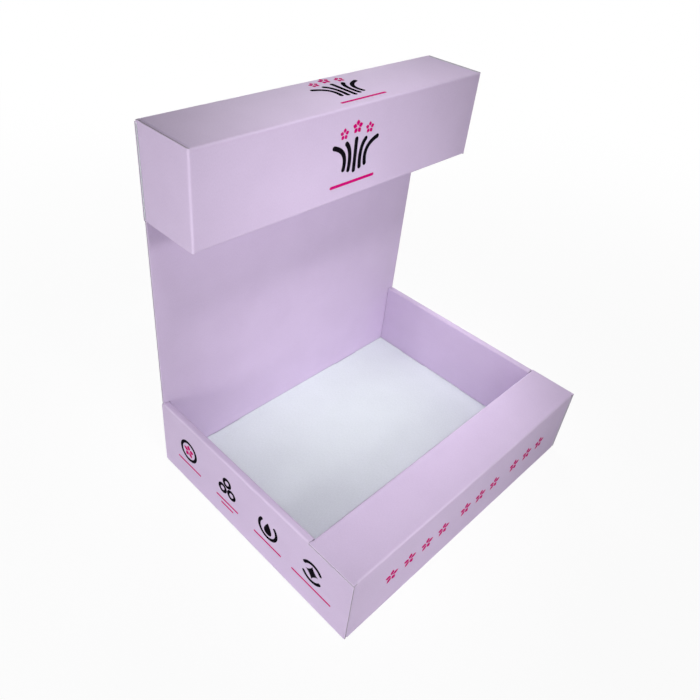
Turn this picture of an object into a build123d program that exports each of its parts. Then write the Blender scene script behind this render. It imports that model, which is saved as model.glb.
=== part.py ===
from build123d import *
import os

# Counter display stand folded from two blanks of corrugated board, in millimetres.
# Both blanks are printed on one side and plain white on the other.
# Origin: middle of the footprint on the table. X points right, the front faces -Y, Z points up.

# The board and how it folds
board = 1.5             # thickness of the board
crease = 0.25           # radius on the inside of a fold
slip = 0.25             # room between two layers that lie side by side

# The tray
tray_width = 305.0
tray_depth = 236.0
tray_height = 73.0
side_wall = 6.5         # over both layers of a side wall that is rolled over
ledge_depth = 46.0      # boxed ledge along the front, from the front face to its inner wall
corner_flap = 55.0      # flaps of the front and back walls, inside the side walls
flap_taper = 7.0        # how much each edge of a hidden flap runs in towards its end

# Tabs that lock a lower edge in the floor
tab_width = 32.0
side_tab_spacing = 84.0
ledge_tab_spacing = 150.0
riser_tab_spacing = 170.0
tab_lead = 0.5          # chamfer on the corners of a tab

# The riser and the boxed header on it
stand_height = 327.0
header_height = 74.0
header_depth = 60.0
glue_flap = 28.0        # foot of the header's back, glued on the back of the riser
glue_flap_inset = 12.0
tuck_flap = 24.0        # flap of an end cap, tucked in along the header's back
dust_flap = 30.0        # flaps of the header's top and bottom, behind the end caps

# Worked out from the sizes above
half_board = board / 2
fold_outer = crease + board
layer = board + slip
side = tray_width / 2
front = -tray_depth / 2
back = tray_depth / 2
ledge_back = front + ledge_depth
inner_wall = side - side_wall
flat_wall = side - layer - fold_outer
side_wall_middle = (ledge_back + back - board) / 2
header_front = back - header_depth
header_bottom = stand_height - header_height
riser_middle = back - board - half_board
stub = 2 * fold_outer   # how far a folded strip runs on into the panel that it belongs to


def block(x_range, y_range, z_range):
    size = [end - start for start, end in (x_range, y_range, z_range)]
    corner = (x_range[0], y_range[0], z_range[0])
    return Pos(*corner) * Box(*size, align=(Align.MIN, Align.MIN, Align.MIN))


# The cut face of board that is folded at every corner but the ends of a middle line
def folded_section(corners):
    middle_line = FilletPolyline(*corners, radius=crease + half_board)
    return trace(middle_line, line_width=board)


# Folded board with corners in (y, z), as wide on the left as on the right
def strip_across(corners, half_width):
    return extrude(Plane.YZ * folded_section(corners), half_width, both=True)


# Folded board with corners in (x, z), from one place in y to another
def strip_along(corners, y_range):
    start, end = y_range
    return extrude(Plane.XZ.offset(-end) * folded_section(corners), end - start)


# Folded board with corners in (x, y), from one height to another
def strip_upright(corners, z_range):
    start, end = z_range
    return extrude(Plane.XY.offset(start) * folded_section(corners), end - start)


# Everything inside an outline in (y, z), right across the stand
def outline_across(corners):
    return extrude(Plane.YZ * make_face(Polyline(*corners, close=True)), tray_width, both=True)


def both_sides(right):
    return right + mirror(right, about=Plane.YZ)


# A tab that hangs from a lower edge and ends just above the table, seen flat, with its lower end at 0
def tab_outline():
    tab = Rectangle(tab_width, board + stub, align=(Align.CENTER, Align.MIN))
    return chamfer(tab.vertices().group_by(Axis.Y)[0], tab_lead)


# Tabs under a lower edge that runs along X, with the middle of its board at y
def tabs_along_x(y, spacing):
    tab = extrude(Plane.XZ.offset(-y) * tab_outline(), half_board, both=True)
    return both_sides(Pos(spacing / 2, 0, slip) * tab)


# The same under a side wall's inner layer, which runs along Y
def tabs_along_y(x, y_middle, spacing):
    tab = extrude(Plane.YZ.offset(x) * tab_outline(), half_board, both=True)
    return both_sides(Part() + [Pos(0, y_middle + way * spacing / 2, slip) * tab for way in (-1, 1)])


# Slots in the floor, as wide as the tabs and the board that go through them, with room to slip in
def slots_along_x(y, spacing):
    slot = Box(tab_width + 2 * slip, board + 2 * slip, 2 * layer)
    return both_sides(Pos(spacing / 2, y, 0) * slot)


def slots_along_y(x, y_middle, spacing):
    slot = Box(board + 2 * slip, tab_width + 2 * slip, 2 * layer)
    return both_sides(Part() + [Pos(x, y_middle + way * spacing / 2, 0) * slot for way in (-1, 1)])


def tray():
    # One strip from the ledge's inner wall over the ledge, down the front, along the floor and up the back
    ledge_wall_middle = ledge_back - half_board
    middle = strip_across(
        [
            (ledge_wall_middle, layer),
            (ledge_wall_middle, tray_height - half_board),
            (front + half_board, tray_height - half_board),
            (front + half_board, half_board),
            (back - half_board, half_board),
            (back - half_board, tray_height),
        ],
        flat_wall,
    )
    floor = block(
        (-side + fold_outer, side - fold_outer),
        (front + fold_outer, back - fold_outer),
        (0, board),
    )
    ledge = block(
        (-side, side),
        (front + fold_outer, ledge_back - fold_outer),
        (tray_height - board, tray_height),
    )
    # Past the folds the ledge has cut edges and lies over the side walls
    ledge_end = block((flat_wall, side), (front, ledge_back), (tray_height - board, tray_height))

    # The side walls: up from the floor, over the top and down again inside
    rolled_wall = strip_along(
        [
            (side - fold_outer - stub, half_board),
            (side - half_board, half_board),
            (side - half_board, tray_height - half_board),
            (inner_wall + half_board, tray_height - half_board),
            (inner_wall + half_board, layer),
        ],
        (ledge_back + slip, back - board - slip),
    )
    outer_wall = block((side - board, side), (front, back), (fold_outer, tray_height - layer))
    floor_fold = strip_along(
        [
            (side - fold_outer - stub, half_board),
            (side - half_board, half_board),
            (side - half_board, fold_outer + stub),
        ],
        (front + fold_outer, back - fold_outer),
    )

    # Front and back walls turn the corners as flaps that lie inside the side walls
    flap_middle = side - layer - half_board
    flap_bottom = fold_outer
    flap_top = tray_height - fold_outer
    flaps = Part()
    for wall, inward in ((front, 1), (back, -1)):
        flap_end = wall + inward * corner_flap
        wrap = strip_upright(
            [
                (-flap_middle, flap_end),
                (-flap_middle, wall + inward * half_board),
                (flap_middle, wall + inward * half_board),
                (flap_middle, flap_end),
            ],
            (flap_bottom, flap_top),
        )
        flaps += wrap & outline_across(
            [
                (wall, flap_bottom),
                (wall + inward * fold_outer, flap_bottom),
                (flap_end, flap_bottom + flap_taper),
                (flap_end, flap_top - flap_taper),
                (wall + inward * fold_outer, flap_top),
                (wall, flap_top),
            ]
        )

    sheet = middle + floor + ledge + both_sides(ledge_end + rolled_wall + outer_wall + floor_fold) + flaps
    side_layer = inner_wall + half_board
    sheet -= slots_along_x(ledge_wall_middle, ledge_tab_spacing)
    sheet -= slots_along_x(riser_middle, riser_tab_spacing)
    sheet -= slots_along_y(side_layer, side_wall_middle, side_tab_spacing)
    sheet += tabs_along_x(ledge_wall_middle, ledge_tab_spacing)
    sheet += tabs_along_y(side_layer, side_wall_middle, side_tab_spacing)
    return sheet


def header_riser():
    header_side = side - layer
    # One strip up the riser, forward under the header, up its front and back over its top
    loop = strip_across(
        [
            (riser_middle, header_bottom - stub),
            (riser_middle, header_bottom + half_board),
            (header_front + half_board, header_bottom + half_board),
            (header_front + half_board, stand_height - half_board),
            (back - half_board, stand_height - half_board),
            (back - half_board, stand_height - fold_outer - stub),
        ],
        header_side,
    )
    # The riser stands on the side walls, and its foot fits between them against the back wall
    riser_depth = (back - 2 * board, back - board)
    panel = block((-side, side), riser_depth, (tray_height, header_bottom - crease))
    foot_side = inner_wall - slip
    foot = block((-foot_side, foot_side), riser_depth, (layer, tray_height))
    foot += tabs_along_x(riser_middle, riser_tab_spacing)

    # The header's back ends in a flap that is glued on the riser
    header_back = block((-side, side), (back - board, back), (header_bottom, stand_height - fold_outer))
    flap_corners = [
        (-side + glue_flap_inset, header_bottom - glue_flap),
        (side - glue_flap_inset, header_bottom - glue_flap),
        (side, header_bottom),
        (-side, header_bottom),
    ]
    glued = extrude(Plane.XZ.offset(-back) * make_face(Polyline(*flap_corners, close=True)), board)

    # An end cap turns the corner from the header's front and tucks in along its back
    inside_bottom = header_bottom + layer
    inside_top = stand_height - layer
    tuck_middle = back - layer - half_board
    cap_corners = [
        (side - half_board, back - layer - fold_outer),
        (side - half_board, header_front + half_board),
        (side - fold_outer - stub, header_front + half_board),
    ]
    tuck_corners = [
        (side - half_board - tuck_flap, tuck_middle),
        (side - half_board, tuck_middle),
        (side - half_board, tuck_middle - stub),
    ]
    cap = strip_upright(cap_corners, (header_bottom, stand_height))
    tuck = strip_upright(tuck_corners, (inside_bottom, inside_top))
    # Above and below its tuck flap the cap is cut straight, up to the header's back
    cap_edge = (back - layer - fold_outer, back - layer)
    for edge in ((header_bottom, inside_bottom), (inside_top, stand_height)):
        cap += block((side - board, side), cap_edge, edge)
    # The folds above and below the header's front stop short of the cap's fold
    past_fold = (side - fold_outer - stub, side - fold_outer)
    front_fold = (header_front, header_front + fold_outer)
    cap -= block(past_fold, front_fold, (stand_height - fold_outer, stand_height))
    cap -= block(past_fold, front_fold, (header_bottom, header_bottom + fold_outer))

    # Flaps folded in from the header's top and bottom, behind the cap
    dust_middle = header_side - half_board
    dust_depth = (header_front + layer, tuck_middle - half_board - slip)
    dust_fold = (header_side - fold_outer, header_side)
    dust = Part()
    for level, inward in ((header_bottom, 1), (stand_height, -1)):
        dust_end = level + inward * dust_flap
        fold_end = level + inward * fold_outer
        flap = strip_along(
            [
                (header_side - fold_outer - stub, level + inward * half_board),
                (dust_middle, level + inward * half_board),
                (dust_middle, dust_end),
            ],
            dust_depth,
        )
        dust += flap & outline_across(
            [
                (dust_depth[0], level),
                (dust_depth[1], level),
                (dust_depth[1], fold_end),
                (dust_depth[1] - flap_taper, dust_end),
                (dust_depth[0] + flap_taper, dust_end),
                (dust_depth[0], fold_end),
            ]
        )
        loop -= both_sides(block(dust_fold, dust_depth, sorted((level, fold_end))))
    return loop + panel + foot + header_back + glued + both_sides(cap + tuck + dust)


os.makedirs("parts", exist_ok=True)
for name, piece in (("tray", tray()), ("header_riser", header_riser())):
    export_step(piece, f"parts/{name}.step")
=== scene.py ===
import bpy
import numpy as np
from mathutils import Matrix, Vector


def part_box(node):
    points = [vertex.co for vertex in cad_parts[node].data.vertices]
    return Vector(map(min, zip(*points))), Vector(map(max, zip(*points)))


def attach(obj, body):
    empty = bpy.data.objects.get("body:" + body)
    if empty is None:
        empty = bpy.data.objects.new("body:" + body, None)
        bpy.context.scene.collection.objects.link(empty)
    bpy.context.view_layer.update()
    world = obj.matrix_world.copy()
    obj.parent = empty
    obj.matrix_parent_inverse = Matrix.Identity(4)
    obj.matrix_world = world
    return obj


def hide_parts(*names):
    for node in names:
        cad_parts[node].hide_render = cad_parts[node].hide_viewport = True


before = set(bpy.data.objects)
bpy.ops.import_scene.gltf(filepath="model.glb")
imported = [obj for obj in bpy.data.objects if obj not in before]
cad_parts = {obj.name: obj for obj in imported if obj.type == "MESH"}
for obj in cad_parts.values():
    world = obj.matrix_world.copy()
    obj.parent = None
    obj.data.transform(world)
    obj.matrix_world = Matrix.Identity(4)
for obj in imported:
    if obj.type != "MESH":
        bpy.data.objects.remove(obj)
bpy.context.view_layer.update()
scene = bpy.context.scene
scene.view_settings.view_transform = "Standard"
print("frame loaded:", sorted(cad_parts))

# Sizes are in millimetres, as on a blank's drawing, and a mesh gets them in metres
perMetre = 1000
trayLow, trayHigh = (np.round(np.array(corner) * perMetre, 3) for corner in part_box("tray"))
riserLow, riserHigh = (np.round(np.array(corner) * perMetre, 3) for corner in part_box("header_riser"))
side, front, back = trayHigh[0], trayLow[1], trayHigh[1]
trayTop, standTop, headerFront = trayHigh[2], riserHigh[2], riserLow[1]

boardSizes = {
    "thickness": 1.5,
    "crease": 0.25,      # radius on the inside of a fold
    "slip": 0.25,        # room between two layers
    "foldSteps": 6,      # cells round a fold
    "band": 1.1,         # first grid line beside a fold or a cut
    "nearest": 0.5,      # a line beside a mark is left out where it is nearer to another mark
    "widest": 9.0,       # widest cell of the grid
}
half = boardSizes["thickness"] / 2
foldMiddle = boardSizes["crease"] + half
foldOuter = boardSizes["crease"] + boardSizes["thickness"]
layer = boardSizes["thickness"] + boardSizes["slip"]

cameraSizes = {
    "eye": (-0.36908, -0.26721, 0.49011),              # in metres
    "right": (0.714762, -0.694913, 0.078818),          # which way the picture's rows and columns run
    "down": (-0.377018, -0.477783, -0.793461),
    "focal": 666.8,                # in pixels of a frame that is 700 pixels wide
    "centre": (327.5, 328.3),      # where the lens points, in the same pixels
    "frame": 700,
    "sensor": 36,                  # width of the camera's sensor in millimetres
}


def makeCamera(sizes):
    right = np.array(sizes["right"]) / np.linalg.norm(sizes["right"])
    forward = np.cross(right, sizes["down"])
    forward /= np.linalg.norm(forward)
    down = np.cross(forward, right)
    data = bpy.data.cameras.new("photoCamera")
    data.sensor_width = sizes["sensor"]
    data.lens = sizes["focal"] / sizes["frame"] * sizes["sensor"]
    data.shift_x = 0.5 - sizes["centre"][0] / sizes["frame"]
    data.shift_y = sizes["centre"][1] / sizes["frame"] - 0.5
    camera = bpy.data.objects.new("photoCamera", data)
    scene.collection.objects.link(camera)
    turned = Matrix(np.stack([right, -down, -forward], 1).tolist()).to_4x4()
    turned.translation = Vector(sizes["eye"])
    camera.matrix_world = turned
    scene.camera = camera


makeCamera(cameraSizes)
print("camera placed")


# A colour as it is read off a screen, 0 to 255, as the light that it stands for by the usual sRGB curve
def screenColour(red, green, blue):
    share = np.array([red, green, blue]) / 255
    light = np.where(share <= 0.04045, share / 12.92, ((share + 0.055) / 1.055) ** 2.4)
    return (*light.tolist(), 1.0)


# A node with its settings, and each socket linked to what feeds it or set to its value
def addNode(tree, kind, sockets=(), **settings):
    node = tree.nodes.new("ShaderNode" + kind)
    for name, value in settings.items():
        setattr(node, name, value)
    for socket, value in dict(sockets).items():
        if isinstance(value, bpy.types.NodeSocket):
            tree.links.new(value, node.inputs[socket])
        else:
            node.inputs[socket].default_value = value
    return node


def calculate(tree, operation, *values, clamp=False):
    node = addNode(tree, "Math", dict(enumerate(values)), operation=operation, use_clamp=clamp)
    return node.outputs[0]


def mixColour(tree, share, first, second):
    node = addNode(tree, "Mix", {0: share, 6: first, 7: second}, data_type="RGBA")
    return node.outputs[2]


# A node group. An input has its value here, or None where it is a vector.
def newGroup(name, inputs, outputs):
    tree = bpy.data.node_groups.new(name, "ShaderNodeTree")
    for label, value in inputs.items():
        kind = "NodeSocketVector" if value is None else "NodeSocketFloat"
        socket = tree.interface.new_socket(label, in_out="INPUT", socket_type=kind)
        if value is not None:
            socket.default_value = value
    for label in outputs:
        tree.interface.new_socket(label, in_out="OUTPUT", socket_type="NodeSocketFloat")
    return tree, tree.nodes.new("NodeGroupInput").outputs, tree.nodes.new("NodeGroupOutput").inputs


def useGroup(tree, group, sockets):
    return addNode(tree, "Group", sockets, node_tree=group).outputs


# The node tree of a new material or world, emptied
def emptyTree(owner):
    owner.use_nodes = True
    owner.node_tree.nodes.clear()
    return owner.node_tree


grainLook = {
    "drawnOut": (1.0, 0.4, 1.0),       # scale of the fibres, which are longer along the flutes
    "fibreDetail": 3.0, "fibreRoughness": 0.65,
    "cloudDetail": 4.0, "cloudRoughness": 0.55,
    "noiseLow": 0.3, "noiseHigh": 0.7,       # the noise between these two is spread over 0 to 1
}


# Fibres of the paper, drawn out along the flutes, and the slow cloudiness of a sheet
def makePaperGrain(look):
    tree, given, result = newGroup(
        "paperGrain", {"Blank": None, "Object": None, "Fibre per metre": 1500.0, "Cloud per metre": 30.0},
        ["Fibre", "Cloud"])
    drawn = addNode(tree, "Mapping", {"Vector": given["Blank"], "Scale": look["drawnOut"]})
    fibre = addNode(tree, "TexNoise", {
        "Vector": drawn.outputs[0], "Scale": given["Fibre per metre"],
        "Detail": look["fibreDetail"], "Roughness": look["fibreRoughness"]})
    cloud = addNode(tree, "TexNoise", {
        "Vector": given["Object"], "Scale": given["Cloud per metre"],
        "Detail": look["cloudDetail"], "Roughness": look["cloudRoughness"]})
    for noise, label in ((fibre, "Fibre"), (cloud, "Cloud")):
        full = addNode(tree, "MapRange", {
            "Value": noise.outputs["Fac"], "From Min": look["noiseLow"], "From Max": look["noiseHigh"]})
        tree.links.new(full.outputs["Result"], result[label])
    return tree


# The flutes inside the board show through its liner as a faint washboard: (1 + cos(2 pi across / pitch)) / 2
def makeFluteMarks():
    tree, given, result = newGroup(
        "fluteMarks", {"Blank": None, "Pitch": 0.0032, "Cloud": 0.5}, ["Height"])
    across = addNode(tree, "SeparateXYZ", {"Vector": given["Blank"]}).outputs["X"]
    turns = calculate(tree, "DIVIDE", across, given["Pitch"])
    wave = calculate(tree, "COSINE", calculate(tree, "MULTIPLY", turns, 2 * np.pi))
    raised = calculate(tree, "MULTIPLY_ADD", wave, 0.5, 0.5)
    tree.links.new(calculate(tree, "MULTIPLY", raised, given["Cloud"]), result["Height"])
    return tree


rubLook = {
    "foldPower": 1.6, "rimPower": 3.0,       # the higher, the closer the wear stays to a fold or a cut
    "even": 0.4, "fibreShare": 1.2,          # wear that is the same everywhere, and what the fibres add to it
}


# Paper and its print wear along folds and cut edges, more where the fibres stand up
def makeEdgeRub(look):
    tree, given, result = newGroup(
        "edgeRub", {"Fibre": 0.5, "Fold amount": 0.5, "Rim amount": 0.4}, ["Rub"])
    fold = addNode(tree, "Attribute", attribute_name="fold").outputs["Fac"]
    rim = addNode(tree, "Attribute", attribute_name="rim").outputs["Fac"]
    fold = calculate(tree, "POWER", fold, look["foldPower"])
    rim = calculate(tree, "POWER", rim, look["rimPower"])
    broken = calculate(tree, "MULTIPLY", fold, given["Fold amount"])
    rubbed = calculate(tree, "MULTIPLY", rim, given["Rim amount"])
    most = calculate(tree, "MAXIMUM", broken, rubbed)
    uneven = calculate(tree, "MULTIPLY_ADD", given["Fibre"], look["fibreShare"], look["even"])
    tree.links.new(calculate(tree, "MULTIPLY", most, uneven, clamp=True), result["Rub"])
    return tree


paperGrain, fluteMarks, edgeRub = makePaperGrain(grainLook), makeFluteMarks(), makeEdgeRub(rubLook)


# The point on the flat blank, as the board's meshes keep it, and the point in space
def blankPlace(tree):
    return addNode(tree, "UVMap", uv_map="blank").outputs[0]


def objectPlace(tree):
    return addNode(tree, "TexCoord").outputs["Object"]


def newMaterial(name):
    material = bpy.data.materials.new(name)
    tree = emptyTree(material)
    shader = addNode(tree, "BsdfPrincipled")
    output = addNode(tree, "OutputMaterial", {"Surface": shader.outputs[0]})
    output.is_active_output = True
    return material, tree, shader


# One paper surface: its colour goes a little lighter and darker in clouds, and wears to another along folds
# and cuts
def makePaper(name, look):
    material, tree, shader = newMaterial(name)
    blank, place = blankPlace(tree), objectPlace(tree)
    grain = useGroup(tree, paperGrain, {
        "Blank": blank, "Object": place,
        "Fibre per metre": look["fibresPerMetre"], "Cloud per metre": look["cloudsPerMetre"]})
    rub = useGroup(tree, edgeRub, {
        "Fibre": grain["Fibre"], "Fold amount": look["foldRub"], "Rim amount": look["rimRub"]})["Rub"]
    washboard = useGroup(tree, fluteMarks, {
        "Blank": blank, "Pitch": look["flutePitch"], "Cloud": grain["Cloud"]})["Height"]
    shade = (1 - look["cloudShare"] - look["fibreShare"]) / 2
    for label, share in (("Cloud", look["cloudShare"]), ("Fibre", look["fibreShare"])):
        shade = calculate(tree, "MULTIPLY_ADD", grain[label], share, shade)
    colour = mixColour(tree, shade, look["light"], look["dark"])
    colour = mixColour(tree, rub, colour, look["worn"])
    tree.links.new(colour, shader.inputs["Base Color"])
    rough = calculate(tree, "MULTIPLY_ADD", grain["Fibre"], look["roughChange"], look["roughness"])
    rough = calculate(tree, "MULTIPLY_ADD", rub, look["wornRoughness"], rough, clamp=True)
    tree.links.new(rough, shader.inputs["Roughness"])
    shader.inputs["Specular IOR Level"].default_value = look["specular"]
    pressed = addNode(tree, "Bump", {"Strength": 1.0, "Distance": look["washboard"], "Height": washboard})
    felt = addNode(tree, "Bump", {
        "Strength": 1.0, "Distance": look["relief"], "Height": grain["Fibre"], "Normal": pressed.outputs[0]})
    tree.links.new(felt.outputs[0], shader.inputs["Normal"])
    return material


# Pitches and reliefs of a look are in metres
lilacLook = {
    "light": screenColour(216, 199, 227), "dark": screenColour(196, 178, 207),
    "worn": screenColour(230, 221, 236), "foldRub": 0.1, "rimRub": 0.3,
    "fibresPerMetre": 1500.0, "cloudsPerMetre": 26.0, "cloudShare": 0.2, "fibreShare": 0.3,
    "roughness": 0.5, "roughChange": 0.16, "wornRoughness": 0.25, "specular": 0.03,
    "flutePitch": 0.0032, "washboard": 0.00002, "relief": 0.000002,
}
reverseLook = {
    "light": screenColour(231, 239, 240), "dark": screenColour(206, 214, 215),
    "worn": screenColour(196, 202, 204), "foldRub": 0.35, "rimRub": 0.25,
    "fibresPerMetre": 1100.0, "cloudsPerMetre": 34.0, "cloudShare": 0.12, "fibreShare": 0.34,
    "roughness": 0.68, "roughChange": 0.2, "wornRoughness": 0.25, "specular": 0.2,
    "flutePitch": 0.0032, "washboard": 0.000022, "relief": 0.000003,
}
lilacPrint = makePaper("lilacPrint", lilacLook)
whiteReverse = makePaper("whiteReverse", reverseLook)

cutLook = {
    "liner": screenColour(222, 209, 230), "flute": screenColour(202, 188, 209),
    # the hollows between liners and fluting get a dark painted shade colour, since the cut edge itself is
    # flat
    "paintedHollowShade": screenColour(162, 149, 169), "pitch": 0.0032,
    "linerShare": 0.15, "fluteShare": 0.13,       # of the board's thickness
    "linerSharpness": 12.0, "fibresPerMetre": 1600.0, "fibreShare": 0.35,
    "roughness": 0.9, "specular": 0.2,
    "tearStrength": 0.8, "tearDepth": 0.00005, "relief": 0.00001,
}


# The cut edge: a liner on each face, between them the fluting as a wave where the cut crosses it, and painted
# shade in the hollows
def makeCutEdge(look):
    material, tree, shader = newMaterial("cutEdge")
    blank, place = blankPlace(tree), objectPlace(tree)
    grain = useGroup(tree, paperGrain, {
        "Blank": blank, "Object": place, "Fibre per metre": look["fibresPerMetre"]})
    parts = addNode(tree, "SeparateXYZ", {"Vector": blank})
    level = calculate(tree, "DIVIDE", parts.outputs["Y"], boardSizes["thickness"] / perMetre)
    level = calculate(tree, "SUBTRACT", level, 0.5)      # -0.5 to 0.5 through the board
    turns = calculate(tree, "DIVIDE", parts.outputs["X"], look["pitch"])
    wave = calculate(tree, "COSINE", calculate(tree, "MULTIPLY", turns, 2 * np.pi))
    wave = calculate(tree, "MULTIPLY", wave, 0.5 - look["linerShare"])
    away = calculate(tree, "ABSOLUTE", calculate(tree, "SUBTRACT", level, wave))
    flute = calculate(tree, "SUBTRACT", 1.0, calculate(tree, "DIVIDE", away, look["fluteShare"]), clamp=True)
    liner = calculate(tree, "SUBTRACT", calculate(tree, "ABSOLUTE", level), 0.5 - look["linerShare"])
    liner = calculate(tree, "MULTIPLY", liner, look["linerSharpness"], clamp=True)
    # painted shade where the cut shows the hollows beside the fluting, then the liners over it
    colour = mixColour(tree, flute, look["paintedHollowShade"], look["flute"])
    colour = mixColour(tree, liner, colour, look["liner"])
    # the fibres darken the edge a little towards the same painted shade colour
    shade = calculate(tree, "MULTIPLY", grain["Fibre"], look["fibreShare"])
    tree.links.new(mixColour(tree, shade, colour, look["paintedHollowShade"]), shader.inputs["Base Color"])
    shader.inputs["Roughness"].default_value = look["roughness"]
    shader.inputs["Specular IOR Level"].default_value = look["specular"]
    solid = calculate(tree, "MAXIMUM", flute, liner)
    torn = addNode(tree, "Bump", {
        "Strength": look["tearStrength"], "Distance": look["tearDepth"], "Height": solid})
    felt = addNode(tree, "Bump", {
        "Strength": 1.0, "Distance": look["relief"], "Height": grain["Fibre"], "Normal": torn.outputs[0]})
    tree.links.new(felt.outputs[0], shader.inputs["Normal"])
    return material


cutEdge = makeCutEdge(cutLook)

inkColours = {
    "blackInk": {"full": screenColour(14, 11, 17), "thin": screenColour(34, 29, 38)},
    "magentaInk": {"full": screenColour(196, 10, 108), "thin": screenColour(206, 34, 126)},
}
inkLook = {
    "fibresPerMetre": 1800.0,
    "thinGain": 1.3, "thinStart": -0.5,       # share of the thin colour: fibre * gain + start
    "roughness": 0.5, "roughChange": 0.2, "specular": 0.0, "relief": 0.000002,
}


# Ink lies a little thinner where the paper's fibres stand up
def makeInk(name, colours, look):
    material, tree, shader = newMaterial(name)
    place = objectPlace(tree)
    fibre = useGroup(tree, paperGrain, {
        "Blank": place, "Object": place, "Fibre per metre": look["fibresPerMetre"]})["Fibre"]
    thin = calculate(tree, "MULTIPLY_ADD", fibre, look["thinGain"], look["thinStart"], clamp=True)
    tree.links.new(mixColour(tree, thin, colours["full"], colours["thin"]), shader.inputs["Base Color"])
    rough = calculate(tree, "MULTIPLY_ADD", fibre, look["roughChange"], look["roughness"])
    tree.links.new(rough, shader.inputs["Roughness"])
    shader.inputs["Specular IOR Level"].default_value = look["specular"]
    felt = addNode(tree, "Bump", {"Strength": 1.0, "Distance": look["relief"], "Height": fibre})
    tree.links.new(felt.outputs[0], shader.inputs["Normal"])
    return material


inks = [makeInk(name, colours, inkLook) for name, colours in inkColours.items()]
print("materials made")


# The four points of each cell of a grid, whose points are numbered row by row
def gridCells(rows, columns):
    number = np.arange(rows * columns).reshape(rows, columns)
    return np.stack([number[:-1, :-1], number[:-1, 1:], number[1:, 1:], number[1:, :-1]], 2).reshape(-1, 4)


# An object at the origin, with its place in its mesh, from points in metres
def newPiece(name, points, faces, materials):
    mesh = bpy.data.meshes.new(name)
    mesh.from_pydata(points.tolist(), [], faces.tolist())
    for material in materials:
        mesh.materials.append(material)
    piece = bpy.data.objects.new(name, mesh)
    scene.collection.objects.link(piece)
    return piece


# Grid lines through every mark, one close beside each mark, and even steps between them
def gridLines(marks):
    marks = np.unique(np.round(marks, 4))
    close = np.concatenate([marks - boardSizes["band"], marks + boardSizes["band"]])
    close = close[np.abs(close[:, None] - marks).min(1) > boardSizes["nearest"]]
    lines = np.unique(np.concatenate([marks, close[(close > marks[0]) & (close < marks[-1])]]))
    counts = np.ceil(np.diff(lines) / boardSizes["widest"]).astype(int)
    steps = [np.linspace(a, b, n + 1)[:-1] for a, b, n in zip(lines[:-1], lines[1:], counts)]
    return np.round(np.concatenate(steps + [lines[-1:]]), 4)


def bothWays(marks):
    return [way * mark for mark in marks for way in (-1, 1)]


# A middle line through corners. A straight run has a row at each grid line. A fold is a quarter circle, and
# its rows are at centre + radius * (sin(turn) * way in - cos(turn) * way out), face cos(turn) * facing in +
# sin(turn) * facing out, and have the fold value sin(2 * turn), which is 1 in the middle.
def foldedLine(corners, grids, printSide=1):
    corners = np.array(corners, float)
    ways = np.sign(np.diff(corners, axis=0))
    facings = printSide * np.stack([ways[:, 1], -ways[:, 0]], 1)
    turn = np.linspace(0, np.pi / 2, boardSizes["foldSteps"] + 1)[1:-1, None]
    places, normals, folds = [], [], []
    for i, way in enumerate(ways):
        last = i == len(ways) - 1
        axis = int(way[1] != 0)
        start = corners[i] + way * foldMiddle * (i > 0)
        end = corners[i + 1] - way * foldMiddle * (not last)
        low, high = sorted((start[axis], end[axis]))
        marks = grids[axis][(grids[axis] > low) & (grids[axis] < high)]
        marks = np.unique(np.round(np.concatenate([marks, [low, high]]), 4))[::int(way[axis])]
        run = np.tile(start, (len(marks), 1))
        run[:, axis] = marks
        places.append(run)
        normals.append(np.tile(facings[i], (len(marks), 1)))
        folds.append(np.zeros(len(marks)))
        if not last:
            centre = corners[i + 1] - foldMiddle * way + foldMiddle * ways[i + 1]
            places.append(centre + foldMiddle * (np.sin(turn) * way - np.cos(turn) * ways[i + 1]))
            normals.append(np.cos(turn) * facings[i] + np.sin(turn) * facings[i + 1])
            folds.append(np.sin(2 * turn[:, 0]))
    place = np.concatenate(places)
    steps = np.linalg.norm(np.diff(place, axis=0), axis=1)
    return {
        "place": place, "facing": np.concatenate(normals), "fold": np.concatenate(folds),
        "distance": np.concatenate([[0], np.cumsum(steps)]),
    }


endless = 1e4


# A box for choosing cells, endless where it names no range, and the same on the left half as on the right
def room(x=(0, endless), y=(-endless, endless), z=(-endless, endless)):
    return np.array([x, y, z], float)


# True for each point inside one of the boxes
def insideRooms(points, rooms):
    points = np.concatenate([np.abs(points[:, :1]), points[:, 1:]], 1)
    low, high = (np.array([space[:, end] for space in rooms]).reshape(-1, 1, 3) for end in (0, 1))
    return ((points > low) & (points < high)).all(2).any(0)


# Board along a folded line and straight across it: point (i, j) is row i of the line at across[j]. It keeps
# the cells whose middles lie in the areas and not in the slots. A flap's width is scaled about its middle by
# narrowing, one number a row.
def foldedSheet(line, across, axes, areas, slots=(), flutes="across", narrowing=None, about=0.0):
    rows, columns = len(line["place"]), len(across)
    middle = np.zeros((rows, columns, 3))
    facing = np.zeros((rows, columns, 3))
    for k in (0, 1):
        middle[..., axes[k]] = line["place"][:, k, None]
        facing[..., axes[k]] = line["facing"][:, k, None]
    middle[..., axes[2]] = across
    cells = gridCells(rows, columns)
    centres = middle.reshape(-1, 3)[cells].mean(1)
    cells = cells[insideRooms(centres, areas) & ~insideRooms(centres, slots)]
    if narrowing is not None:
        middle[..., axes[2]] = about + (middle[..., axes[2]] - about) * narrowing[:, None]
    along, over = np.broadcast_arrays(line["distance"][:, None], across)
    order = (over, along) if flutes == "along" else (along, over)
    return {
        "middle": middle.reshape(-1, 3), "facing": facing.reshape(-1, 3), "cells": cells,
        "blank": np.stack(order, 2).reshape(-1, 2), "fold": np.repeat(line["fold"], columns),
    }


def mirrored(sheet):
    turned = dict(sheet)
    turned["middle"] = sheet["middle"] * [-1, 1, 1]
    turned["facing"] = sheet["facing"] * [-1, 1, 1]
    return turned


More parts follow.
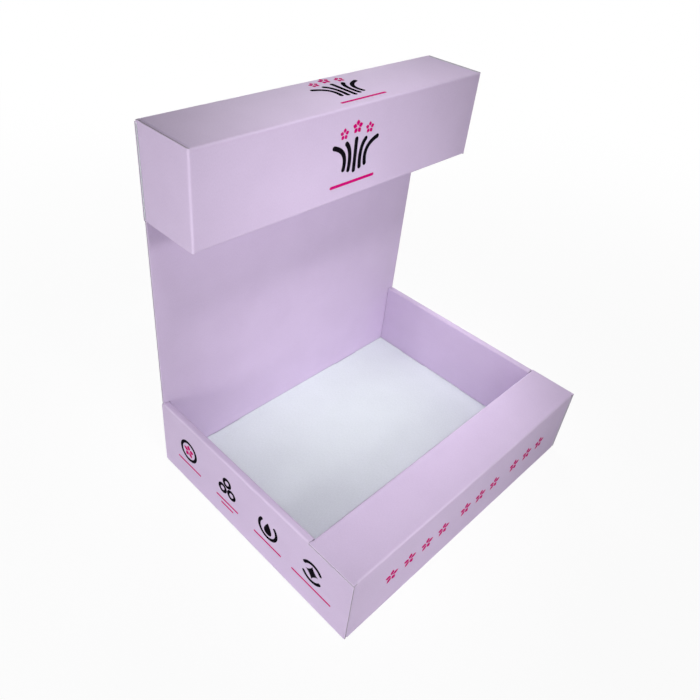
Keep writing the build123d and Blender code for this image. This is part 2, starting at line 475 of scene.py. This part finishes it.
# Joins sheets that share grid points. The print is middle + half a board * facing, the reverse is middle -
# half a board * facing, and every edge that only one cell uses is closed with a cut edge.
def makeBoard(name, sheets):
    starts = np.cumsum([0] + [len(sheet["middle"]) for sheet in sheets])
    middle, facing, blank, fold = (
        np.concatenate([sheet[key] for sheet in sheets]) for key in ("middle", "facing", "blank", "fold"))
    loose = np.concatenate([sheet["cells"] + start for sheet, start in zip(sheets, starts)])
    first, joined = np.unique(np.round(middle, 3), axis=0, return_index=True, return_inverse=True)[1:]
    used, cells = np.unique(joined.ravel()[loose], return_inverse=True)
    cells = cells.reshape(-1, 4)
    middle, facing, fold = (values[first][used] for values in (middle, facing, fold))
    flat = blank[loose] / perMetre

    corner = middle[cells]
    upward = np.cross(corner[:, 2] - corner[:, 0], corner[:, 3] - corner[:, 1])
    wrong = (upward * facing[cells].mean(1)).sum(1) < 0
    cells[wrong], flat[wrong] = cells[wrong][:, ::-1], flat[wrong][:, ::-1]

    ends = np.stack([cells, np.roll(cells, -1, 1)], 2).reshape(-1, 2)
    endsFlat = np.stack([flat[..., 0], np.roll(flat[..., 0], -1, 1)], 2).reshape(-1, 2)
    code = ends.min(1) * len(middle) + ends.max(1)
    which, count = np.unique(code, return_inverse=True, return_counts=True)[1:]
    border = count[which.ravel()] == 1
    ends, endsFlat = ends[border], endsFlat[border]
    total, cut = len(middle), len(ends)
    rim = np.zeros(total)
    rim[ends] = 1

    points = np.concatenate([middle + half * facing, middle - half * facing]) / perMetre
    edges = np.stack([ends[:, 1], ends[:, 0], ends[:, 0] + total, ends[:, 1] + total], 1)
    faces = np.concatenate([cells, cells[:, ::-1] + total, edges])
    deep = np.broadcast_to(np.array([0, 0, 1, 1]) * boardSizes["thickness"] / perMetre, (cut, 4))
    edgeFlat = np.stack([endsFlat[:, [1, 0, 0, 1]], deep], 2)
    piece = newPiece(name, points, faces, (lilacPrint, whiteReverse, cutEdge))
    mesh = piece.data
    mesh.polygons.foreach_set("material_index", np.repeat([0, 1, 2], [len(cells), len(cells), cut]))
    mesh.polygons.foreach_set("use_smooth", np.repeat([True, True, False], [len(cells), len(cells), cut]))
    layout = mesh.uv_layers.new(name="blank")
    layout.data.foreach_set("uv", np.concatenate([flat, flat[:, ::-1], edgeFlat]).ravel())
    for label, values in (("fold", fold), ("rim", rim)):
        mesh.attributes.new(label, "FLOAT", "POINT").data.foreach_set("value", np.tile(values, 2))
    mesh.update()
    print(name, "has", len(faces), "faces")
    return piece


# How a hidden flap narrows from its fold to its end: 1 - 2 * taper * share of the flap / width
def flapNarrowing(line, wall, flap, taper, width):
    reach = np.abs(line["place"][:, 1] - wall) - foldOuter
    share = np.clip(reach / (flap - foldOuter), 0, 1)
    return 1 - 2 * taper * share / width


traySizes = {
    "sideWall": 6.5,            # over both layers of a rolled side wall
    "ledge": 46.0,
    "cornerFlap": 55.0,
    "flapTaper": 7.0,
    "tab": 32.0,
    "sideTabSpacing": 84.0,
    "ledgeTabSpacing": 150.0,
    "riserTabSpacing": 170.0,
    "overFloor": 0.9,           # between the middle of the floor's board and that of the lowest row of tabs
    "intoFold": 0.3,            # how far the riser's slots run into the fold of the back wall
}


# From where to where a tab lies, or its slot with room to slip in
def tabSpan(middle, slip=0.0):
    return middle - traySizes["tab"] / 2 - slip, middle + traySizes["tab"] / 2 + slip


def trayBoard(sizes):
    thickness, slip = boardSizes["thickness"], boardSizes["slip"]
    slotHalf = half + slip
    flat = side - layer - foldOuter
    ledgeBack = front + sizes["ledge"]
    ledgeMiddle = ledgeBack - half
    innerMiddle = side - sizes["sideWall"] + half
    riserMiddle = back - thickness - half
    wallEnds = (ledgeBack + slip, back - thickness - slip)
    wallMiddle = (ledgeBack + back - thickness) / 2
    sideTabs = [wallMiddle + way * sizes["sideTabSpacing"] / 2 for way in (-1, 1)]
    ledgeTab, riserTab = sizes["ledgeTabSpacing"] / 2, sizes["riserTabSpacing"] / 2
    gridX = gridLines(bothWays([
        0, flat, side - foldOuter, side, innerMiddle - slotHalf, innerMiddle + slotHalf,
        *tabSpan(ledgeTab), *tabSpan(ledgeTab, slip), *tabSpan(riserTab, slip)]))
    gridY = gridLines([
        front, front + foldOuter, ledgeBack - foldOuter, ledgeBack, *wallEnds, back - foldOuter, back,
        ledgeMiddle - slotHalf, ledgeMiddle + slotHalf, riserMiddle - slotHalf,
        *[mark for tab in sideTabs for mark in (*tabSpan(tab), *tabSpan(tab, slip))]])
    gridZ = gridLines([slip, foldOuter, trayTop - foldOuter, trayTop])

    # One strip: the ledge's inner wall, the ledge, the front wall, the floor and the back wall
    top = trayTop - half
    strip = foldedLine(
        [
            (ledgeMiddle, slip),
            (ledgeMiddle, top),
            (front + half, top),
            (front + half, half),
            (back - half, half),
            (back - half, trayTop),
        ],
        (gridY, gridZ))
    ledgeSlot = (ledgeMiddle - slotHalf, ledgeMiddle + slotHalf)
    innerSlot = (innerMiddle - slotHalf, innerMiddle + slotHalf)
    backSlot = (riserMiddle - slotHalf, back - foldOuter + sizes["intoFold"])
    besideTabs = {"y": (ledgeMiddle - half, ledgeMiddle + half), "z": (sizes["overFloor"], foldOuter)}
    inFloor = {"z": (0, sizes["overFloor"])}
    cutOut = [
        room(x=(0, tabSpan(ledgeTab)[0]), **besideTabs),
        room(x=(tabSpan(ledgeTab)[1], flat), **besideTabs),
        room(x=tabSpan(ledgeTab, slip), y=ledgeSlot, **inFloor),
        room(x=tabSpan(riserTab, slip), y=backSlot, **inFloor),
        *[room(x=innerSlot, y=tabSpan(tab, slip), **inFloor) for tab in sideTabs],
    ]
    sheets = [foldedSheet(strip, gridX[np.abs(gridX) <= flat], (1, 2, 0), [room()], cutOut)]

    # Past the folds the ledge runs straight on over the side walls
    ledgeLine = foldedLine([(front, top), (ledgeBack, top)], (gridY, gridZ), -1)
    ledgeEnd = foldedSheet(ledgeLine, gridX[gridX >= flat], (1, 2, 0), [room()])

    # A side wall: up from the floor, over and down again inside, with two tabs
    wallLine = foldedLine(
        [(flat, half), (side - half, half), (side - half, top), (innerMiddle, top), (innerMiddle, slip)],
        (gridX, gridZ))
    low = {"z": (0, foldOuter)}
    inside = (0, innerMiddle + half)
    rolled = foldedSheet(
        wallLine, gridY, (0, 2, 1),
        [
            room(x=(flat, side), y=(front + foldOuter, back - foldOuter), **low),
            room(x=(side - thickness, side), z=(foldOuter, trayTop - foldOuter)),
            room(y=wallEnds, z=(trayTop - foldOuter, trayTop)),
            room(x=inside, y=wallEnds, z=(foldOuter, trayTop)),
            *[room(x=inside, y=tabSpan(tab), **low) for tab in sideTabs],
        ],
        flutes="along")
    halves = [ledgeEnd, rolled]

    # Flaps of the front and back walls, which lie between the two layers of a side wall
    flapX = side - layer - half
    flapZ = gridZ[(gridZ >= foldOuter) & (gridZ <= trayTop - foldOuter)]
    height = trayTop - 2 * foldOuter
    for wall, inward in ((front, 1), (back, -1)):
        wallY = wall + inward * half
        flapEnd = wall + inward * sizes["cornerFlap"]
        line = foldedLine([(flat, wallY), (flapX, wallY), (flapX, flapEnd)], (gridX, gridY), inward)
        narrowing = flapNarrowing(line, wall, sizes["cornerFlap"], sizes["flapTaper"], height)
        halves.append(foldedSheet(
            line, flapZ, (0, 1, 2), [room()], flutes="along", narrowing=narrowing, about=trayTop / 2))
    return sheets + halves + [mirrored(sheet) for sheet in halves]


tray = makeBoard("trayBoard", trayBoard(traySizes))
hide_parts("tray")

riserSizes = {
    "header": 74.0,             # height of the header
    "glueFlap": 28.0,           # below the header's back, on the back of the riser
    "glueFlapInset": 12.0,
    "tuckFlap": 24.0,
    "dustFlap": 30.0,
    "flapTaper": 7.0,
}


def riserBoard(sizes):
    thickness, slip = boardSizes["thickness"], boardSizes["slip"]
    bottom = standTop - sizes["header"]
    headerSide = side - layer
    flat = headerSide - foldOuter
    footSide = side - traySizes["sideWall"] - slip
    riserMiddle = back - thickness - half
    tuckMiddle = back - layer - half
    capBack = back - layer - foldOuter
    insideBottom, insideTop = bottom + layer, standTop - layer
    glueEnd = bottom - sizes["glueFlap"]
    riserTab = traySizes["riserTabSpacing"] / 2
    dustDepth = (headerFront + layer, tuckMiddle - half - slip)
    gridX = gridLines(bothWays([
        0, flat, headerSide, side, footSide, side - half - sizes["tuckFlap"], *tabSpan(riserTab)]))
    gridY = gridLines([headerFront, *dustDepth, capBack, riserMiddle - foldMiddle, back - layer, back])
    gridZ = gridLines([
        slip, foldOuter, trayTop, glueEnd, bottom - boardSizes["crease"], bottom, insideBottom,
        bottom + sizes["dustFlap"], standTop - sizes["dustFlap"], insideTop, standTop])

    # One strip: up the riser, forward under the header, up its front, back over its top and down its back
    strip = foldedLine(
        [
            (riserMiddle, slip),
            (riserMiddle, bottom + half),
            (headerFront + half, bottom + half),
            (headerFront + half, standTop - half),
            (back - half, standTop - half),
            (back - half, glueEnd),
        ],
        (gridY, gridZ), -1)
    glued = (strip["place"][:, 0] > riserMiddle + half) & (strip["place"][:, 1] < bottom)
    share = glued * (bottom - strip["place"][:, 1]) / sizes["glueFlap"]
    loop = foldedSheet(
        strip, gridX, (1, 2, 0),
        [
            room(x=tabSpan(riserTab), z=(slip, foldOuter)),
            room(x=(0, footSide), z=(foldOuter, trayTop)),
            room(x=(0, side), z=(trayTop, bottom - boardSizes["crease"])),
            room(x=(0, side), y=(riserMiddle + half, back), z=(trayTop, standTop - foldOuter)),
            room(x=(0, headerSide), z=(bottom - boardSizes["crease"], standTop)),
        ],
        [
            room(x=(flat, side), y=dustDepth, z=(bottom, insideBottom)),
            room(x=(flat, side), y=dustDepth, z=(insideTop, standTop)),
        ],
        flutes="along", narrowing=1 - sizes["glueFlapInset"] / side * share)

    # An end cap turns the corner from the header's front and tucks in along its back
    headerZ = gridZ[gridZ >= bottom]
    capX = side - half
    capLine = foldedLine(
        [
            (headerSide, headerFront + half),
            (capX, headerFront + half),
            (capX, tuckMiddle),
            (capX - sizes["tuckFlap"], tuckMiddle),
        ],
        (gridX, gridY))
    cap = foldedSheet(
        capLine, headerZ, (0, 1, 2),
        [room(y=(headerFront, capBack)), room(y=(capBack, back), z=(insideBottom, insideTop))])
    # Above and below its tuck flap the cap is cut straight
    capEdge = foldedSheet(
        foldedLine([(capX, capBack), (capX, back - layer)], (gridX, gridY)),
        headerZ, (0, 1, 2), [room()], [room(z=(insideBottom, insideTop))])
    halves = [cap, capEdge]

    # Dust flaps of the header's top and bottom, behind the cap
    dustX = headerSide - half
    dustY = gridY[(gridY >= dustDepth[0]) & (gridY <= dustDepth[1])]
    depth = dustDepth[1] - dustDepth[0]
    for level, inward in ((bottom, 1), (standTop, -1)):
        height = level + inward * half
        flapEnd = level + inward * sizes["dustFlap"]
        line = foldedLine([(flat, height), (dustX, height), (dustX, flapEnd)], (gridX, gridZ), inward)
        narrowing = flapNarrowing(line, level, sizes["dustFlap"], sizes["flapTaper"], depth)
        halves.append(foldedSheet(
            line, dustY, (0, 2, 1), [room()], narrowing=narrowing, about=sum(dustDepth) / 2))
    return [loop] + halves + [mirrored(sheet) for sheet in halves]


riser = makeBoard("headerRiserBoard", riserBoard(riserSizes))
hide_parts("header_riser")

black, magenta = 0, 1           # places of the two inks in a print's materials
printSizes = {
    "thickness": 0.06,          # of the ink, and half of it stands proud of the board
    "pen": 3.8,                 # of the emblem's stems
    "ring": 3.2,                # of the badges' rings and arcs
    "bar": 2.1,                 # of the bars below the badges
    "narrowest": 0.02,          # half width at a pointed or rounded end
    "points": 49,               # along a path
    "ringPoints": 72,
}


# Steps from 0 to 1 that are close together at both ends: (1 - cos(pi * even step)) / 2
def closeEnds(count):
    return (1 - np.cos(np.linspace(0, np.pi, count))) / 2


# A path of ink in the plane of its panel, in millimetres, that bends towards a point between its ends:
# (1 - share) ** 2 * start + 2 * share * (1 - share) * towards + share ** 2 * end
def bentPath(start, towards, end, count=printSizes["points"]):
    start, towards, end = np.array(start), np.array(towards), np.array(end)
    share = closeEnds(count)[:, None]
    return (1 - share) ** 2 * start + 2 * share * (1 - share) * towards + share ** 2 * end


# A path round a centre: centre + radius * (cos(turn), sin(turn)), with its first and last turn in degrees
def arcPath(centre, radius, first, last, shares):
    turn = np.radians(first + (last - first) * shares)[:, None]
    return np.array(centre) + radius * np.concatenate([np.cos(turn), np.sin(turn)], 1)


# How far along a path each of its points is, in millimetres
def lengthAlong(path):
    return np.concatenate([[0], np.cumsum(np.linalg.norm(np.diff(path, axis=0), axis=1))])


# Half widths of a pen line with round ends: sqrt(width * reach - reach ** 2), reach from the nearer end
def penWidth(path, width):
    along = lengthAlong(path)
    reach = np.minimum(np.minimum(along, along[-1] - along), width / 2)
    return np.maximum(np.sqrt(width * reach - reach ** 2), printSizes["narrowest"])


# Half widths of a leaf that is pointed at both ends: width / 2 * sin(pi * share of its length)
def leafWidth(path, width):
    along = lengthAlong(path)
    return np.maximum(width / 2 * np.sin(np.pi * along / along[-1]), printSizes["narrowest"])


# A closed ribbon of ink round a path: four points a row, path plus and minus half width * sideways, half the
# ink's thickness above and below the panel
def inkRibbon(path, widths, closed, thickness):
    ahead = np.roll(path, -1, 0) - np.roll(path, 1, 0) if closed else np.gradient(path, axis=0)
    ahead /= np.linalg.norm(ahead, axis=1)[:, None]
    sideways = np.stack([-ahead[:, 1], ahead[:, 0]], 1) * np.broadcast_to(widths, len(path))[:, None]
    left, right = path + sideways, path - sideways
    flatRows = np.stack([left, right, right, left], 1)
    level = np.broadcast_to(np.array([-1, -1, 1, 1]) * thickness / 2, flatRows.shape[:2])
    points = np.concatenate([flatRows, level[..., None]], 2)
    number = np.arange(len(path) * 4).reshape(-1, 4)
    here, there = (number, np.roll(number, -1, 0)) if closed else (number[:-1], number[1:])
    faces = np.stack([here, there, np.roll(there, -1, 1), np.roll(here, -1, 1)], 2).reshape(-1, 4)
    ends = np.zeros((0, 4), int) if closed else np.stack([number[0], number[-1][::-1]])
    return points.reshape(-1, 3), np.concatenate([faces, ends])


# Which way is right and which is up on each printed panel
panels = {
    "front": ((1, 0, 0), (0, 0, 1)),
    "left": ((0, -1, 0), (0, 0, 1)),
    "top": ((1, 0, 0), (0, 1, 0)),
}


# A mesh of ribbons on one panel: centre + across * right + up * upward + level * outward. A ribbon is (ink,
# path, half widths, closed).
def makePrint(name, ribbons, centre, panel):
    right, upward = np.array(panels[panel], float)
    outward = np.cross(right, upward)
    flats, parts = zip(*[inkRibbon(*ribbon[1:], printSizes["thickness"]) for ribbon in ribbons])
    starts = np.cumsum([0] + [len(flat) for flat in flats])
    points = np.array(centre) + np.concatenate(flats) @ np.stack([right, upward, outward])
    faces = np.concatenate([part + start for part, start in zip(parts, starts)])
    counts = [len(part) for part in parts]
    piece = newPiece(name, points / perMetre, faces, inks)
    piece.data.polygons.foreach_set("material_index", np.repeat([ribbon[0] for ribbon in ribbons], counts))
    piece.data.update()
    print(name, "has", len(ribbons), "shapes")
    return piece


# A straight bar with round ends
def barOf(length, height, pen):
    path = bentPath((-length / 2, height), (0, height), (length / 2, height))
    return magenta, path, penWidth(path, pen), False


def ringOf(centre, radius, pen):
    count = printSizes["ringPoints"]
    path = arcPath(centre, radius, 0, 360 - 360 / count, np.linspace(0, 1, count))
    return black, path, pen / 2, True


# Part of a ring with round ends, from one turn to another in degrees
def arcOf(radius, first, last, points, pen):
    path = arcPath((0, 0), radius, first, last, closeEnds(points))
    return black, path, penWidth(path, pen), False


# Petals as leaves round a middle, from middle + near * way to middle + far * way, the first straight up
def blossom(middle, sizes):
    near, far = sizes["near"], sizes["far"]
    turn = np.linspace(0, 2 * np.pi, sizes["petals"] + 1)[:-1] + np.pi / 2
    petals = []
    for way in np.stack([np.cos(turn), np.sin(turn)], 1):
        path = bentPath(middle + way * near, middle + way * (near + far) / 2, middle + way * far)
        petals.append((magenta, path, leafWidth(path, sizes["width"]), False))
    return petals


emblemSizes = {
    "stems": ((0.0, 0.0, 14.0), (6.5, 12.0, 11.5), (12.5, 25.5, 10.0)),       # foot, tip across, tip up
    "foot": -15.0,                    # height of the middle stem's foot
    "footRise": 0.25,                 # of the other feet, for each millimetre across
    "bend": {"foot": 0.35, "across": 0.1, "up": 0.55},       # it bends towards these shares of foot and tip
    "blossoms": ((0.0, 21.5, 5.6), (13.8, 18.4, 4.8)),       # across, up, reach
    "petals": 5,
    "petalStart": 0.9,
    "petalShare": 0.66,               # width of a petal, as a share of its reach
    "bar": (50.0, -22.5, 2.6),        # length, height, pen
}


# The emblem: stems that rise side by side and bend outwards, blossoms on the inner ones, and a bar below
def emblem(sizes, pen):
    ribbons = []
    bend = sizes["bend"]
    for way in (-1, 1):
        for foot, tipX, tipY in sizes["stems"]:
            if way < 0 and tipX == 0:
                continue
            start = (way * foot, sizes["foot"] + sizes["footRise"] * foot)
            towards = (way * (bend["foot"] * foot + bend["across"] * tipX), bend["up"] * tipY)
            path = bentPath(start, towards, (way * tipX, tipY))
            ribbons.append((black, path, penWidth(path, pen), False))
        for x, y, reach in sizes["blossoms"]:
            if way > 0 or x > 0:
                ribbons += blossom(np.array([way * x, y]), {
                    "petals": sizes["petals"], "near": sizes["petalStart"], "far": reach,
                    "width": sizes["petalShare"] * reach})
    return ribbons + [barOf(*sizes["bar"])]


badgeSizes = {
    "radius": 10.3,       # to the middle of a ring's line
    "blossom": {"petals": 5, "near": 1.0, "far": 7.2, "width": 4.2},
    "rings": {"out": 6.8, "radius": 4.1, "turns": (0, 120, 240)},
    "openRing": {"from": 130, "to": 410, "points": 97},       # in degrees
    "drop": {"half": 7.0, "width": 6.4, "taper": 0.75},
    "arcs": {"from": (25, 205), "turn": 130, "points": 61},
    "star": {"half": 8.0, "width": 7.0, "power": 0.7, "points": 81},
}


# Rings side by side, with their middles at out * (sin(turn), cos(turn))
def ringsOf(sizes, pen):
    turn = np.radians(sizes["turns"])
    middles = sizes["out"] * np.stack([np.sin(turn), np.cos(turn)], 1)
    return [ringOf(middle, sizes["radius"], pen) for middle in middles]


# A drop, wide below and narrow above. Half widths: width * sqrt(1 - (1 - 2 share) ** 2) * (1 - taper share)
def dropOf(sizes):
    path = bentPath((0, -sizes["half"]), (0, 0), (0, sizes["half"]))
    share = lengthAlong(path) / lengthAlong(path)[-1]
    widths = sizes["width"] * np.sqrt(1 - (1 - 2 * share) ** 2) * (1 - sizes["taper"] * share)
    return black, path, np.maximum(widths, printSizes["narrowest"]), False


# A star of four points, whose half width falls from its middle: width * (1 - share ** power) ** (1 / power)
def starOf(sizes):
    path = bentPath((0, -sizes["half"]), (0, 0), (0, sizes["half"]), sizes["points"])
    share = np.abs(path[:, 1] / sizes["half"])
    widths = sizes["width"] * (1 - share ** sizes["power"]) ** (1 / sizes["power"])
    return black, path, np.maximum(widths, printSizes["narrowest"]), False


# Four round badges: a blossom in a ring, three rings, a drop in an open ring, and a star between two arcs
def badges(sizes, pen):
    radius, opened, arcs = sizes["radius"], sizes["openRing"], sizes["arcs"]
    flower = [ringOf((0, 0), radius, pen)] + blossom(np.zeros(2), sizes["blossom"])
    water = [arcOf(radius, opened["from"], opened["to"], opened["points"], pen), dropOf(sizes["drop"])]
    star = [arcOf(radius, first, first + arcs["turn"], arcs["points"], pen) for first in arcs["from"]]
    return flower, ringsOf(sizes["rings"], pen), water, star + [starOf(sizes["star"])]


# Each ribbon moved within its panel
def shifted(ribbons, x, y):
    return [(ink, path + [x, y], widths, closed) for ink, path, widths, closed in ribbons]


sidePrintSizes = {
    "badges": (-79.5, -25.2, 27.2, 78.3),       # from the middle of the side, towards the front
    "height": 42.5,
    "bars": ((34,), (30, 17), (34,), (44,)),    # lengths of the bars below each badge
    "barHeight": 24.5,
    "barStep": 5.5,
}


# Four badges in a row, each over its bars
def sidePrint(sizes):
    ribbons = []
    for badge, x, bars in zip(badges(badgeSizes, printSizes["ring"]), sizes["badges"], sizes["bars"]):
        ribbons += shifted(badge, x, sizes["height"])
        for row, length in enumerate(bars):
            height = sizes["barHeight"] - sizes["barStep"] * row
            ribbons += shifted([barOf(length, 0, printSizes["bar"])], x, height)
    return ribbons


frontPrintSizes = {
    "places": (-105.5, -84, -62.5, -41, -10.5, 11, 32.5, 64, 85.5, 107),
    "height": 37.0,
    "blossom": {"petals": 5, "near": 1.0, "far": 7.8, "width": 4.2},
}


# A row of blossoms
def frontPrint(sizes):
    flower = blossom(np.zeros(2), sizes["blossom"])
    return [petal for x in sizes["places"] for petal in shifted(flower, x, sizes["height"])]


# Where the middle of the emblem is on the header: across and up on its front, across and back on its top
emblemPlaces = {"front": (-1, 288.5), "top": (12.5, 89.5)}
frontPlace = (emblemPlaces["front"][0], headerFront, emblemPlaces["front"][1])
topPlace = (*emblemPlaces["top"], standTop)
headerEmblem = emblem(emblemSizes, printSizes["pen"])
prints = [
    makePrint("headerFrontPrint", headerEmblem, frontPlace, "front"),
    makePrint("headerTopPrint", headerEmblem, topPlace, "top"),
    makePrint("sidePrint", sidePrint(sidePrintSizes), (-side, 0, 0), "left"),
    makePrint("frontPrint", frontPrint(frontPrintSizes), (0, front, 0), "front"),
]
for piece in [tray, riser] + prints:
    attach(piece, "root")

floorSizes = {
    "half": 4.0,                # of its side, in metres
    "lines": 9,                 # of its grid
    "level": -0.0002,           # just below the stand, so that the two don't touch
    "shade": screenColour(240, 240, 241), "pale": screenColour(248, 248, 248),
    "cloudsPerMetre": 3.0,
    "nearGlow": 0.93,           # share of its white that is its own beside the stand, where the shadow lies
    "fade": (0.35, 1.2),        # from here to here, in metres, the share rises to 1
}


# 1 for what the camera sees of the studio, also in glossy or clear surfaces, and 0 for light on the stand
def seenDirectly(tree):
    rays = addNode(tree, "LightPath").outputs
    seen = calculate(tree, "ADD", rays["Is Camera Ray"], rays["Is Glossy Ray"], clamp=True)
    return calculate(tree, "ADD", seen, rays["Is Transmission Ray"], clamp=True)


# To the camera the floor is nearly white of itself, and keeps the stand's soft shadow
def makeFloor(sizes):
    lines = sizes["lines"]
    steps = np.linspace(-sizes["half"], sizes["half"], lines)
    points = np.stack([*np.meshgrid(steps, steps), np.full((lines, lines), sizes["level"])], 2).reshape(-1, 3)
    material = bpy.data.materials.new("studioFloor")
    tree = emptyTree(material)
    place = objectPlace(tree)
    reach = addNode(tree, "VectorMath", {0: place}, operation="LENGTH").outputs["Value"]
    own = addNode(tree, "MapRange", {
        "Value": reach, "From Min": sizes["fade"][0], "From Max": sizes["fade"][1],
        "To Min": sizes["nearGlow"], "To Max": 1.0}, interpolation_type="SMOOTHSTEP").outputs["Result"]
    cloud = addNode(tree, "TexNoise", {"Vector": place, "Scale": sizes["cloudsPerMetre"]})
    colour = mixColour(tree, cloud.outputs["Fac"], sizes["shade"], sizes["pale"])
    lit = addNode(tree, "BsdfDiffuse", {"Color": colour})
    glow = addNode(tree, "Emission", {"Color": (1, 1, 1, 1), "Strength": 1.0})
    share = calculate(tree, "MULTIPLY", seenDirectly(tree), own)
    mixed = addNode(tree, "MixShader", {0: share, 1: lit.outputs[0], 2: glow.outputs[0]})
    addNode(tree, "OutputMaterial", {"Surface": mixed.outputs[0]})
    floor = newPiece("studioFloor", points, gridCells(lines, lines), [material])


# Each lamp is a soft disc, or with a cone a spot whose light fades from its middle outwards. Places and sizes
# are in metres, powers in watts and cones in degrees.
lamps = {
    "riser": {"place": (-0.1, -1.3, 0.75), "aim": (0.02, 0.11, 0.15),
              "size": 0.3, "power": 37.0, "cone": 24},
    "header": {"place": (-0.6, -1.1, 0.42), "aim": (-0.1, 0.05, 0.31),
               "size": 0.25, "power": 24.1, "cone": 15},
    "headerTop": {"place": (0.2, 0.45, 1.15), "aim": (0.12, 0.09, 0.327),
                  "size": 0.2, "power": 15.0, "cone": 11},
    "right": {"place": (0.8, 0.3, 0.8), "aim": (0.12, 0.09, 0.327),
              "size": 0.2, "power": 16.0, "cone": 10},
    "tray": {"place": (-0.2, -0.55, 1.3), "aim": (0.02, 0.07, 0.0),
             "size": 0.3, "power": 48.0, "cone": 18},
    "trayMiddle": {"place": (0.1, -0.35, 1.3), "aim": (0.02, 0.035, 0.0),
                   "size": 0.25, "power": 5.1, "cone": 14},
    "trayRight": {"place": (-0.45, 0.0, 1.2), "aim": (0.12, 0.02, 0.0),
                  "size": 0.2, "power": 20.1, "cone": 11},
    "innerWall": {"place": (-1.0, -0.3, 0.75), "aim": (0.13, 0.02, 0.04),
                  "size": 0.25, "power": 12.5, "cone": 12},
    "ledge": {"place": (-0.5, -0.9, 0.8), "aim": (-0.13, -0.1, 0.05),
              "size": 0.25, "power": 14.9, "cone": 17},
    "ledgeLeft": {"place": (-0.35, -0.35, 1.1), "aim": (-0.11, -0.1, 0.07),
                  "size": 0.2, "power": 9.5, "cone": 11},
    "corner": {"place": (-0.5, -0.95, 0.12), "aim": (-0.15, -0.118, 0.04),
               "size": 0.15, "power": 6.4, "cone": 10},
    "left": {"place": (-1.1, 0.35, 0.16), "aim": (-0.15, 0.03, 0.05),
             "size": 0.3, "power": 0.8},
    "leftNear": {"place": (-0.8, -0.05, 0.22), "aim": (-0.15, 0.0, 0.12),
                 "size": 0.3, "power": 1.6},
    "behindRight": {"place": (0.9, 1.2, 0.35), "aim": (0.0, 0.05, 0.14),
                    "size": 0.8, "power": 16.6},
}
worldLight = 0.27               # the room's own light


def makeLamp(name, sizes):
    data = bpy.data.lights.new(name, "SPOT" if "cone" in sizes else "AREA")
    if "cone" in sizes:
        data.shadow_soft_size = sizes["size"] / 2
        data.spot_size = np.radians(sizes["cone"])
        data.spot_blend = 1.0
    else:
        data.shape = "DISK"
        data.size = sizes["size"]
    data.energy = sizes["power"]
    lamp = bpy.data.objects.new(name, data)
    scene.collection.objects.link(lamp)
    place = Vector(sizes["place"])
    turned = (Vector(sizes["aim"]) - place).to_track_quat("-Z", "Y").to_matrix().to_4x4()
    turned.translation = place
    lamp.matrix_world = turned


# The room's own light is plain, and the camera and glossy surfaces see white behind the stand
def makeWorld():
    world = bpy.data.worlds.new("studio")
    scene.world = world
    tree = emptyTree(world)
    strength = calculate(tree, "MULTIPLY_ADD", seenDirectly(tree), 1.0 - worldLight, worldLight)
    sky = addNode(tree, "Background", {"Color": (1.0, 1.0, 1.0, 1.0), "Strength": strength})
    addNode(tree, "OutputWorld", {"Surface": sky.outputs[0]})


makeFloor(floorSizes)
for name, sizes in lamps.items():
    makeLamp(name, sizes)
makeWorld()
print("floor, lamps and background made")
